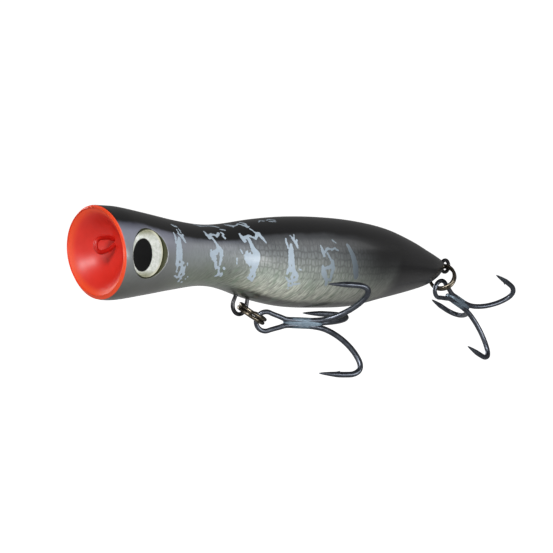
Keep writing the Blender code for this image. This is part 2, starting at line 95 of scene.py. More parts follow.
# ---- the body's outer surface ----
def outline(x):
    """Height above, depth below and half width of the body at each x, on a cubic through the rows."""
    x = np.asarray(x, float)
    last = len(OUTLINE) - 2
    i = np.clip(np.searchsorted(OUTLINE[1:-1, 0], x, side="right"), 0, last)
    a, b = OUTLINE[i], OUTLINE[i + 1]
    before, after = OUTLINE[np.maximum(i - 1, 0)], OUTLINE[np.minimum(i + 2, last + 1)]
    span = (b[..., 0] - a[..., 0])[..., None]
    t = (x - a[..., 0])[..., None] / span
    slope_a = (b - before) / (b[..., :1] - before[..., :1]) * span
    slope_b = (after - a) / (after[..., :1] - a[..., :1]) * span
    rows = ((2 * t**3 - 3 * t**2 + 1) * a + (t**3 - 2 * t**2 + t) * slope_a
            + (3 * t**2 - 2 * t**3) * b + (t**3 - t**2) * slope_b)
    return rows[..., 1], rows[..., 2], rows[..., 3]


def on_body(s, angle, side, inset=0.0):
    """Points on the body; s is the distance along it, which starts on the slanted mouth plane."""
    s, angle = np.broadcast_arrays(np.asarray(s, float), np.asarray(angle, float))
    fade = np.clip(1.0 - s / 20.0, 0.0, 1.0) ** 2
    x = s.copy()
    for _ in range(4):
        top, bottom, width = outline(x)
        z = (top - bottom) / 2 + ((top + bottom) / 2 - inset) * np.sin(angle)
        x = s - z * math.tan(MOUTH_SLANT) * fade
    y = side * (width - inset) * np.cos(angle)
    return np.stack([x, y, z], axis=-1)


def paint_place(points):
    """Where a point lies on the painted surface: x and the angle round the section, as a UV pair."""
    points = np.asarray(points, float)
    top, bottom, width = outline(np.clip(points[..., 0], -3.0, BODY_LENGTH))
    up = (points[..., 2] - (top - bottom) / 2) / ((top + bottom) / 2)
    out = np.abs(points[..., 1]) / width
    return np.stack([points[..., 0] / 100.0, np.degrees(np.arctan2(up, out)) / 100.0], axis=-1)


def inside(points):
    top, bottom, width = outline(points[..., 0])
    middle, half = (top - bottom) / 2, (top + bottom) / 2
    return ((points[..., 2] - middle) / half) ** 2 + (points[..., 1] / width) ** 2 < 1.0


def eye_axes(side):
    """Origin on the socket's floor, along the body, up and out of the socket."""
    origin = np.array([EYE_X, side * EYE_FLOOR, EYE_Z])
    along = np.array([math.cos(EYE_TILT), -side * math.sin(EYE_TILT), 0.0])
    out = np.array([math.sin(EYE_TILT), side * math.cos(EYE_TILT), 0.0])
    return origin, along, np.array([0.0, 0.0, 1.0]), out


def over_eye(a, b, side):
    """The body's surface over the point (a, b) of the eye's plane, and its height over the socket's floor."""
    origin, along, up, out = eye_axes(side)
    base = origin + np.multiply.outer(a, along) + np.multiply.outer(b, up)
    low, high = np.full(np.shape(a), -6.0), np.full(np.shape(a), 9.0)
    for _ in range(34):
        middle = (low + high) / 2
        within = inside(base + middle[..., None] * out)
        low, high = np.where(within, middle, low), np.where(within, high, middle)
    return base + low[..., None] * out, low


# ---- meshes ----
def linked(name, data):
    obj = bpy.data.objects.new(name, data)
    bpy.context.scene.collection.objects.link(obj)
    return obj


def new_object(name, mesh, body, material, smooth=True):
    obj = linked(name, mesh)
    mesh.materials.append(material)
    if smooth:
        mesh.shade_smooth()
        mesh.set_sharp_from_angle(angle=math.radians(38))
    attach(obj, body)
    return obj


def grid_mesh(name, vertices, faces, uv=None):
    """A mesh in the row frame from millimetre points; uv gives one pair for each vertex."""
    mesh = bpy.data.meshes.new(name)
    mesh.from_pydata([at(*v) for v in vertices], [], faces)
    bm = bmesh.new()
    bm.from_mesh(mesh)
    bmesh.ops.recalc_face_normals(bm, faces=bm.faces)
    bm.to_mesh(mesh)
    bm.free()
    if uv is not None:
        layer = mesh.uv_layers.new(name="paint")
        for loop in mesh.loops:
            layer.data[loop.index].uv = uv[loop.vertex_index]
    return mesh


def turned_mesh(name, profile, matrix, steps):
    """A closed turned piece; the profile is (radius, height) from one end of its axis to the other."""
    vertices, rings = [], []
    for radius, height in profile:
        if radius < 1e-6:
            rings.append([len(vertices)])
            vertices.append(matrix @ Vector((0.0, 0.0, height)))
        else:
            rings.append(list(range(len(vertices), len(vertices) + steps)))
            for k in range(steps):
                a = 2 * math.pi * k / steps
                vertices.append(matrix @ Vector((radius * math.cos(a), radius * math.sin(a), height)))
    faces = []
    for a, b in zip(rings, rings[1:]):
        for k in range(steps):
            n = (k + 1) % steps
            if len(a) == 1:
                faces.append((a[0], b[k], b[n]))
            elif len(b) == 1:
                faces.append((a[k], b[0], a[n]))
            else:
                faces.append((a[k], b[k], b[n], a[n]))
    return grid_mesh(name, vertices, faces)


def smooth_line(points, step):
    """Points about step apart on a cubic through the given ones."""
    points = [Vector(p) for p in points]
    result = []
    for i in range(len(points) - 1):
        a, b = points[i], points[i + 1]
        before = points[i - 1] if i else a * 2 - b
        after = points[i + 2] if i + 2 < len(points) else b * 2 - a
        d0, d1, d2 = (max((q - p).length, 1e-4) ** 0.5 for p, q in ((before, a), (a, b), (b, after)))
        m1 = (a - before) / d0 - (b - before) / (d0 + d1) + (b - a) / d1
        m2 = (b - a) / d1 - (after - a) / (d1 + d2) + (after - b) / d2
        count = max(1, round((b - a).length / step))
        for k in range(count):
            t = k / count
            result.append((2 * t**3 - 3 * t**2 + 1) * a + (t**3 - 2 * t**2 + t) * m1 * d1
                          + (3 * t**2 - 2 * t**3) * b + (t**3 - t**2) * m2 * d1)
    result.append(points[-1])
    return result


def sweep(path, radius, sides=20, round_ends=(True, True)):
    """Vertices and faces of a closed round bar; radius is a function of the distance and the whole length."""
    run = [0.0]
    for a, b in zip(path, path[1:]):
        run.append(run[-1] + (b - a).length)
    vertices, rings, frames = [], [], []
    normal = (path[1] - path[0]).normalized().orthogonal().normalized()
    for i, point in enumerate(path):
        tangent = (path[min(i + 1, len(path) - 1)] - path[max(i - 1, 0)]).normalized()
        normal = (normal - tangent * normal.dot(tangent)).normalized()
        frames.append((point, tangent, normal, tangent.cross(normal), radius(run[i], run[-1])))

    def ring(centre, u, v, r):
        rings.append(list(range(len(vertices), len(vertices) + sides)))
        for k in range(sides):
            a = 2 * math.pi * k / sides
            vertices.append(centre + u * r * math.cos(a) + v * r * math.sin(a))

    def cap(frame, bulge, turns):
        centre, tangent, u, v, r = frame
        for a in map(math.radians, turns):
            ring(centre + tangent * r * math.sin(a) * bulge, u, v, r * math.cos(a))

    if round_ends[0]:
        cap(frames[0], -0.7, (70, 45, 20))
    for centre, _, u, v, r in frames:
        ring(centre, u, v, r)
    if round_ends[1]:
        cap(frames[-1], 0.7, (20, 45, 70))
    faces = []
    for a, b in zip(rings, rings[1:]):
        for k in range(sides):
            n = (k + 1) % sides
            faces.append((a[k], a[n], b[n], b[k]))
    faces += [tuple(reversed(rings[0])), tuple(rings[-1])]
    return vertices, faces


def joined(parts):
    vertices, faces = [], []
    for v, f in parts:
        base = len(vertices)
        vertices += v
        faces += [tuple(i + base for i in face) for face in f]
    return vertices, faces


# ---- node graphs ----
class Value:
    """A node's output; arithmetic on it adds Math nodes."""

    def __init__(self, graph, socket):
        self.graph, self.socket = graph, socket

    def __add__(self, other):
        return self.graph.math("ADD", self, other)

    def __sub__(self, other):
        return self.graph.math("SUBTRACT", self, other)

    def __mul__(self, other):
        return self.graph.math("MULTIPLY", self, other)

    def __truediv__(self, other):
        return self.graph.math("DIVIDE", self, other)


class Graph:
    """Short ways to write a material's nodes."""

    def __init__(self, name, roughness=0.4, metallic=0.0, coat=0.0, coat_roughness=0.05):
        self.material = bpy.data.materials.new(name)
        self.material.use_nodes = True
        self.tree = self.material.node_tree
        self.shader = self.tree.nodes["Principled BSDF"]
        self.use(Roughness=roughness, Metallic=metallic, Coat_Weight=coat, Coat_Roughness=coat_roughness)

    def new(self, kind, **settings):
        node = self.tree.nodes.new(kind)
        for key, value in settings.items():
            setattr(node, key, value)
        return node

    def put(self, socket, value):
        if isinstance(value, Value):
            self.tree.links.new(value.socket, socket)
        else:
            socket.default_value = value

    def out(self, node, output=0, **inputs):
        """One of a node's outputs, with the inputs that are named."""
        for name, value in inputs.items():
            self.put(node.inputs[name.replace("_", " ")], value)
        return Value(self, node.outputs[output])

    def math(self, operation, a, b=0.0, clamp=False):
        node = self.new("ShaderNodeMath", operation=operation, use_clamp=clamp)
        self.put(node.inputs[0], a)
        self.put(node.inputs[1], b)
        return Value(self, node.outputs[0])

    def length(self, a, b):
        return self.math("SQRT", a * a + b * b)

    def step(self, value, low, high):
        """0 at low and 1 at high, smooth between them."""
        node = self.new("ShaderNodeMapRange", interpolation_type="SMOOTHSTEP")
        return self.out(node, Value=value, From_Min=low, From_Max=high)

    def share(self, value, low, high):
        return self.math("DIVIDE", value - low, high - low, clamp=True)

    def curve(self, value, points):
        """A smooth function of a number from points (number, result)."""
        low, high = points[0][0], points[-1][0]
        base, top = min(p[1] for p in points), max(p[1] for p in points)
        node = self.new("ShaderNodeFloatCurve")
        line = node.mapping.curves[0]
        for i, (x, y) in enumerate(points):
            place = ((x - low) / (high - low), (y - base) / (top - base))
            if i < 2:
                line.points[i].location = place
            else:
                line.points.new(*place)
        node.mapping.update()
        return self.out(node, Value=self.share(value, low, high)) * (top - base) + base

    def mix(self, factor, a, b, blend="MIX"):
        node = self.new("ShaderNodeMix", data_type="RGBA", blend_type=blend)
        for socket, value in ((0, factor), (6, a), (7, b)):
            self.put(node.inputs[socket], value)
        return Value(self, node.outputs[2])

    def ramp(self, value, stops):
        """A colour ramp; stops are (number, red, green, blue) in rising order over any range of numbers."""
        low, high = stops[0][0], stops[-1][0]
        node = self.new("ShaderNodeValToRGB")
        elements = node.color_ramp.elements
        while len(elements) < len(stops):
            elements.new(0.5)
        for element, (place, *colour) in zip(elements, stops):
            element.position = (place - low) / (high - low)
            element.color = linear(*colour)
        return self.out(node, Fac=self.share(value, low, high))

    def vector(self, x, y, z=0.0):
        return self.out(self.new("ShaderNodeCombineXYZ"), X=x, Y=y, Z=z)

    def split(self, vector):
        node = self.new("ShaderNodeSeparateXYZ")
        self.put(node.inputs[0], vector)
        return [Value(self, output) for output in node.outputs]

    def noise(self, x, y, z=0.0, detail=2.0, roughness=0.5, distortion=0.0):
        return self.out(self.new("ShaderNodeTexNoise"), "Fac", Vector=self.vector(x, y, z), Scale=1.0,
                        Detail=detail, Roughness=roughness, Distortion=distortion)

    def cell_edges(self, x, y, randomness):
        """Distance to the edge between cells."""
        return self.out(self.new("ShaderNodeTexVoronoi", feature="DISTANCE_TO_EDGE"), "Distance",
                        Vector=self.vector(x, y), Scale=1.0, Randomness=randomness)

    def bump(self, height, distance, strength):
        return self.out(self.new("ShaderNodeBump"), Height=height, Distance=distance, Strength=strength)

    def object_mm(self):
        """X, Y and Z in millimetres, measured as the design sizes are."""
        place = self.out(self.new("ShaderNodeTexCoord"), "Object")
        x, y, z = (value * 1000.0 for value in self.split(place))
        return x + TIE_X, y, z + TIE_Z

    def use(self, **sockets):
        for name, value in sockets.items():
            self.put(self.shader.inputs[name.replace("_", " ")], value)
        return self.material


# ---- materials ----
def body_paint():
    g = Graph("body_paint", roughness=0.34, coat=0.6, coat_roughness=0.14)
    u, v, _ = g.split(g.out(g.new("ShaderNodeUVMap", uv_map="paint")))
    x = u * 100.0
    angle = v * 100.0
    arc = angle * 0.25
    soft = g.noise(x * 0.12, arc * 0.12, detail=3.0)
    angle_soft = angle + (soft - 0.5) * 10.0

    # the sides' colour round the section, at the head, at the waist and at the belly
    # the lavender-grey band at 18 to 30 degrees, just below the black back, is partly painted sheen
    head = g.ramp(angle_soft, [
        (-90, 62, 64, 60), (-60, 74, 76, 70), (-40, 92, 94, 90), (-20, 112, 115, 114), (0, 125, 128, 131),
        (18, 134, 136, 148), (30, 132, 134, 148), (42, 70, 72, 84), (50, 34, 35, 38),
    ])
    # the lighter lavender band at 0 to 16 degrees, just below the black back, is partly painted sheen
    waist = g.ramp(angle_soft, [
        (-90, 120, 125, 118), (-62, 128, 134, 124), (-45, 116, 124, 110), (-25, 120, 126, 118),
        (0, 138, 144, 145), (16, 140, 144, 149), (28, 96, 100, 108), (36, 44, 45, 52),
    ])
    # the dark band below -62 degrees along the belly's underside is painted shade, where the clear shell's
    # lower edge looks dark
    belly = g.ramp(angle_soft, [
        (-90, 58, 58, 53), (-70, 60, 60, 55), (-62, 70, 70, 62), (-54, 176, 178, 164), (-38, 196, 200, 187),
        (-22, 170, 178, 168), (-6, 146, 152, 148), (10, 124, 129, 130), (24, 102, 105, 107), (36, 70, 72, 75),
    ])
    colour = g.mix(g.step(x, 16.0, 34.0), head, waist)
    colour = g.mix(g.step(x, 48.0, 70.0), colour, belly)

    # upright streaks and scales on the sides, slanted ones below
    column = x + (g.noise(x * 0.2, arc * 0.2) - 0.5) * 2.0
    upright = g.noise(column * 2.4, arc * 0.35, detail=4.0, roughness=0.65)
    across = x * 0.86 + arc * -0.5
    along = x * 0.5 + arc * 0.86
    slanted = g.noise(across * 1.5, along * 0.28, detail=4.0, roughness=0.6, distortion=0.4)
    low_side = g.step(angle, -6.0, -30.0)
    streak = g.out(g.new("ShaderNodeMix"), Factor=low_side, A=upright, B=slanted) - 0.5
    scales = g.step(g.cell_edges(column * 0.6, arc * 0.46, randomness=0.4), 0.02, 0.26)
    scale_show = g.step(x, 50.0, 62.0) * (g.step(angle, -34.0, -10.0) * g.step(angle, 34.0, 16.0))
    below_back = g.step(angle_soft, 42.0, 26.0)
    amount = below_back * g.curve(x, [(0, 0.10), (22, 0.16), (38, 0.5), (60, 0.95), (100, 1.0), (130, 0.5)])
    shade = streak * (low_side * 1.1 + 1.7) * amount + 1.0
    shade = shade * ((scales - 0.75) * 0.34 * scale_show + 1.0)
    colour = g.mix(1.0, colour, g.vector(shade, shade, shade), "MULTIPLY")
    green = g.step(g.noise(across * 0.5, along * 0.15, 7.0, detail=3.0), 0.48, 0.7)
    green = green * g.step(angle, 0.0, -24.0) * g.step(x, 26.0, 44.0)
    colour = g.mix(green * 0.55, colour, linear(112, 132, 112))

    # the black back, which runs down over the whole tail; over the tail it is partly painted shade, deepening
    # from x 82 to 128 where the body turns from the light
    black = g.mix(soft, linear(8, 8, 9), linear(17, 17, 19))
    edge = g.curve(x, [(-3, 44), (8, 41), (20, 36), (36, 31), (50, 31), (65, 38), (85, 40), (105, 36),
                       (125, 24), (150, 0), (180, -30)])
    width = g.curve(x, [(-3, 6), (60, 6), (90, 9), (120, 20), (180, 30)])
    over = g.step((angle_soft - edge) / width, -0.5, 0.6)
    # the tail's black blend is partly painted shade, a little weaker low on the sides
    high_side = g.step(angle, -50.0, 20.0) * 0.28 + 0.72
    tail = g.math("MULTIPLY", g.step(x, 82.0, 128.0), high_side, clamp=True)
    tail = g.math("MAXIMUM", tail, g.step(x, 112.0, 140.0))
    colour = g.mix(g.math("MAXIMUM", over, tail), colour, black)

    # the paint's own fine grain
    grain = g.noise(x * 6.0, arc * 6.0)
    normal = g.bump(streak * amount + grain * 0.1, distance=0.00004, strength=0.35)
    return g.use(Base_Color=colour, Roughness=grain * 0.14 + 0.26, Normal=normal)


def mark_paint():
    g = Graph("mark_paint", roughness=0.36, coat=0.6, coat_roughness=0.14)
    x, y, z = g.object_mm()
    cloud = g.noise(x * 0.9, y * 0.9, z * 0.9, detail=3.0)
    colour = g.mix(cloud, linear(172, 188, 202), linear(192, 207, 220))
    # the marks darken towards the tail: partly painted shade, as on the body's tail
    colour = g.mix(g.step(x, 80.0, 104.0), colour, linear(128, 142, 152))
    colour = g.mix(g.step(x, 100.0, 116.0), colour, linear(66, 74, 82))
    return g.use(Base_Color=colour)


def red_paint():
    g = Graph("red_paint", roughness=0.4, coat=0.05, coat_roughness=0.3)
    x, y, z = g.object_mm()
    cloud = g.noise(x * 0.15, y * 0.15, z * 0.15, detail=3.0)
    deep = g.mix(cloud, linear(206, 36, 24), linear(224, 50, 36))
    colour = g.mix(g.step(g.length(y, z), 11.6, 13.6), deep, linear(232, 72, 30))
    peel = g.noise(x * 0.9, y * 0.9, z * 0.9)
    return g.use(Base_Color=colour, Roughness=cloud * 0.14 + 0.34, Normal=g.bump(peel, 0.00006, 0.15))


def wire_paint():
    """The through wire: red where it stands in the mouth, dark steel elsewhere."""
    g = Graph("wire_finish", roughness=0.3)
    x, y, z = g.object_mm()
    cloud = g.noise(x * 0.8, y * 0.8, z * 0.8, detail=4.0)
    red = g.mix(cloud, linear(176, 22, 16), linear(214, 40, 28))
    steel = g.mix(cloud, linear(52, 52, 54), linear(92, 92, 94))
    mask = g.step(x, 7.6, 8.0)
    return g.use(Base_Color=g.mix(mask, red, steel), Metallic=mask, Roughness=cloud * 0.2 + 0.22,
                 Normal=g.bump(cloud, 0.00005, 0.2))


def metal(name, dark, light, roughness, grain):
    g = Graph(name, roughness=roughness, metallic=1.0)
    x, y, z = g.object_mm()
    cloud = g.noise(x * grain, y * grain, z * grain, detail=4.0, roughness=0.6)
    fine = g.noise(x * 9.0, y * 9.0, z * 9.0)
    colour = g.mix(g.step(cloud, 0.3, 0.7), linear(*dark), linear(*light))
    rough = cloud * 0.12 + fine * 0.06 + (roughness - 0.08)
    return g.use(Base_Color=colour, Roughness=rough, Normal=g.bump(fine, 0.00003, 0.25))


def eye_paint(word):
    """A printed silver iris with a black pupil set forward of its centre, under a clear gloss."""
    g = Graph(f"eye_print_{word}", roughness=0.35, coat=0.35, coat_roughness=0.05)
    x, _, z = g.object_mm()
    across, up = x - EYE_X, z - EYE_Z
    mottle = g.noise(across * 0.7, up * 0.7, 3.0, detail=5.0, roughness=0.7)
    fine = g.noise(across * 2.6, up * 2.6, 5.0, detail=4.0, roughness=0.7)
    silver = g.mix(g.step(mottle, 0.35, 0.65), linear(214, 219, 208), linear(246, 248, 243))
    silver = g.mix(g.step(fine, 0.52, 0.75) * 0.5, silver, linear(166, 171, 150))
    olive = g.mix(g.step(fine, 0.3, 0.7), linear(92, 92, 58), linear(170, 170, 132))
    silver = g.mix(g.step(g.math("ABSOLUTE", up), 5.0, 7.2) * 0.85, silver, olive)
    back_edge = g.step(g.length(across, up), 6.5, 7.4) * g.step(across, 0.0, 4.0)
    silver = g.mix(back_edge, silver, linear(236, 236, 212))
    pupil = g.length((across - -2.3) * 1.2, up - -0.5)
    edge = (g.noise(across * 1.2, up * 1.2) - 0.5) * 0.35 + 5.5
    colour = g.mix(g.step(pupil, edge, edge - 0.28), silver, linear(6, 6, 7))
    return g.use(Base_Color=colour, Roughness=fine * 0.2 + 0.25, Specular_IOR_Level=0.25)


def inner_material(name, dark, light, roughness, metallic):
    g = Graph(name, roughness=roughness, metallic=metallic)
    x, y, z = g.object_mm()
    cloud = g.noise(x * 0.8, y * 0.8, z * 0.8, detail=5.0, roughness=0.65)
    return g.use(Base_Color=g.mix(cloud, linear(*dark), linear(*light)), Roughness=cloud * 0.15 + roughness,
                 Normal=g.bump(cloud, 0.00015, 0.4))


paint = body_paint()
marks = mark_paint()
red = red_paint()
wire_finish = wire_paint()
socket_finish = inner_material("socket_wall", (48, 50, 30), (78, 80, 52), 0.35, 0.0)
ring_finish = metal("black_nickel", (84, 78, 68), (128, 120, 106), 0.22, grain=0.6)
hook_finish = metal("hook_plating", (84, 88, 96), (104, 109, 118), 0.3, grain=0.5)
braze_finish = metal("braze", (112, 128, 141), (134, 150, 162), 0.5, grain=0.8)
foil_finish = inner_material("foil", (150, 156, 150), (205, 210, 204), 0.25, 1.0)
lead_finish = inner_material("cast_lead", (86, 88, 94), (120, 122, 128), 0.55, 1.0)
ball_finish = inner_material("ball_steel", (150, 150, 152), (190, 190, 192), 0.12, 1.0)


# ---- the painted body ----
SECTION_STEPS = 60
WALL, NOSE_WALL = 2.0, 5.4
NOSE_END, NOSE_FADE = 20.0, 8.0  # where the thick wall of the nose ends, and over what length
RIM_ROUND = 0.45
LIP = 0.6                        # how far the rim stands ahead of the mouth plane
SEAM = 0.01                      # half the gap between the two halves
TAIL_ROUND = 0.5
# radius and depth of the seat for the cup, from the rim in
CUP_SEAT = [(14.35, 0.0), (13.95, 1.3), (12.9, 2.1), (11.75, 3.2), (10.5, 4.6), (9.6, 5.6)]
# the stations and the angles between which the outer grid makes room for the eye's socket
EYE_FROM, EYE_TO, EYE_ANGLE = 2, 22, 45.0


def body_stations():
    head = [-LIP, 0.2] + [0.9 + 0.995 * k for k in range(21)]
    tail = [174.6, 175.8, 176.9, 177.9, 178.7, 179.2, BODY_LENGTH]
    return head + [22.0 + 1.5 * k for k in range(102)] + tail


def body_half(side, word):
    """One half of the body as a closed shell with a lipped nose, a socket for the eye and a flat seam."""
    stations = body_stations()
    angles = np.radians(np.linspace(-90.0, 90.0, SECTION_STEPS + 1))
    vertices, faces, materials = [], [], []

    def row_of(points):
        """Adds points as vertices, kept off the seam, and gives their numbers."""
        points = points.copy()
        points[:, 1] = np.where(np.abs(points[:, 1]) < SEAM, side * SEAM, points[:, 1])
        vertices.extend(points.tolist())
        return list(range(len(vertices) - len(points), len(vertices)))

    count = len(angles)
    outer = [row_of(on_body(s, angles, side)) for s in stations]
    # rounded end of the tail
    top, bottom, _ = outline(BODY_LENGTH)
    for turn in (30.0, 55.0, 75.0):
        a = math.radians(turn)
        ring = on_body(BODY_LENGTH, angles, side)
        middle = (top - bottom) / 2
        shrink = 0.62 + 0.38 * math.cos(a)
        ring[:, 0] += TAIL_ROUND * math.sin(a)
        ring[:, 1] *= shrink
        ring[:, 2] = middle + (ring[:, 2] - middle) * shrink
        outer.append(row_of(ring))

    # the nose's rounded rim and the seat for the cup, from the outside in
    front = []
    slant = np.array([-math.cos(MOUTH_SLANT), 0.0, -math.sin(MOUTH_SLANT)])
    edge = on_body(-LIP, angles, side)
    spoke = edge / np.linalg.norm(edge, axis=1)[:, None]
    for k in (25, 50, 75, 90):
        a = math.radians(k)
        ring = edge - spoke * RIM_ROUND * (1 - math.cos(a)) + slant * RIM_ROUND * (math.sin(a) - 1.0)
        front.append(row_of(ring))
    for radius, depth in CUP_SEAT:
        front.append(row_of(spoke * radius - slant * (depth - LIP)))
    # the rim's roundness starts behind the mouth plane
    for row, back in ((outer[0], RIM_ROUND), (outer[1], 0.3)):
        for k in row:
            vertices[k] = (np.array(vertices[k]) - slant * back).tolist()

    inner = []
    for s in stations[20:-6:2]:
        inset = NOSE_WALL + (WALL - NOSE_WALL) * min(1.0, max(0.0, (s - NOSE_END) / NOSE_FADE))
        _, _, width = outline(s)
        inner.append(row_of(on_body(s, angles, side, min(inset, 0.6 * float(width)))))

    # the rectangle of the outer grid that the eye socket takes out
    origin, along, up, out = eye_axes(side)
    i0, i1 = EYE_FROM, EYE_TO
    j0 = int(np.argmin(np.abs(angles - math.radians(-EYE_ANGLE))))
    j1 = SECTION_STEPS - j0

    def strip(a, b, skip=None, material=0):
        for j in range(count - 1):
            if skip and skip(j):
                continue
            faces.append((a[j], a[j + 1], b[j + 1], b[j]))
            materials.append(material)

    for i in range(len(outer) - 1):
        strip(outer[i], outer[i + 1], (lambda j: j0 <= j < j1) if i0 <= i < i1 else None)
    strip(front[0], outer[0])
    for a, b in zip(front, front[1:]):
        strip(b, a, material=2)
    strip(inner[0], front[-1])
    for a, b in zip(inner, inner[1:]):
        strip(b, a)
    strip(outer[-1], inner[-1])

    # the flat seam: one face along each edge of the half
    for j in (0, count - 1):
        faces.append(tuple(row[j] for row in front[::-1] + outer + inner[::-1]))
        materials.append(0)

    # from the rectangle in to the socket's rim
    border = ([(i, j0) for i in range(i0, i1)] + [(i1, j) for j in range(j0, j1)]
              + [(i, j1) for i in range(i1, i0, -1)] + [(i0, j) for j in range(j1, j0, -1)])
    ring = [outer[i][j] for i, j in border]
    square = np.array([vertices[k] for k in ring]) - origin
    a_edge, b_edge = square @ along, square @ up
    turn = np.arctan2(b_edge, a_edge)
    rim_radius = SOCKET_RADIUS + SOCKET_ROUND
    previous = ring
    layers = 7
    for layer in range(1, layers + 1):
        share = 1 - (1 - layer / layers) ** 1.5
        a = a_edge * (1 - share) + rim_radius * np.cos(turn) * share
        b = b_edge * (1 - share) + rim_radius * np.sin(turn) * share
        points, _ = over_eye(a, b, side)
        current = row_of(points)
        join_rings(faces, materials, previous, current, 0)
        previous = current
    cosine, sine = np.cos(turn), np.sin(turn)
    for k in (20, 40, 60, 80, 90):
        a = math.radians(k)
        radius = SOCKET_RADIUS + SOCKET_ROUND * (1 - math.sin(a))
        points, _ = over_eye(radius * cosine, radius * sine, side)
        current = row_of(points - out * SOCKET_ROUND * (1 - math.cos(a)))
        join_rings(faces, materials, previous, current, 0 if k < 60 else 1)
        previous = current
    _, height = over_eye(SOCKET_RADIUS * cosine, SOCKET_RADIUS * sine, side)
    wall_top = height - SOCKET_ROUND
    base = origin + SOCKET_RADIUS * (np.multiply.outer(cosine, along) + np.multiply.outer(sine, up))
    for share in (0.66, 0.33, 0.0):
        current = row_of(base + np.multiply.outer(wall_top * share, out))
        join_rings(faces, materials, previous, current, 1)
        previous = current
    faces.append(tuple(previous))
    materials.append(1)

    mesh = grid_mesh(f"painted_half_{word}", vertices, faces, uv=paint_place(vertices))
    half = new_object(f"painted_half_{word}", mesh, "lure_body", paint)
    mesh.materials.append(socket_finish)
    mesh.materials.append(red)
    mesh.polygons.foreach_set("material_index", materials)
    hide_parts(f"body_shell_{word}")


def join_rings(faces, materials, a, b, material):
    for k in range(len(a)):
        n = (k + 1) % len(a)
        faces.append((a[k], a[n], b[n], b[k]))
        materials.append(material)


for side, word in SIDES:
    body_half(side, word)


# ---- the light markings on the sides ----
BAR_GRID, BAR_THICKNESS = 0.16, 0.03
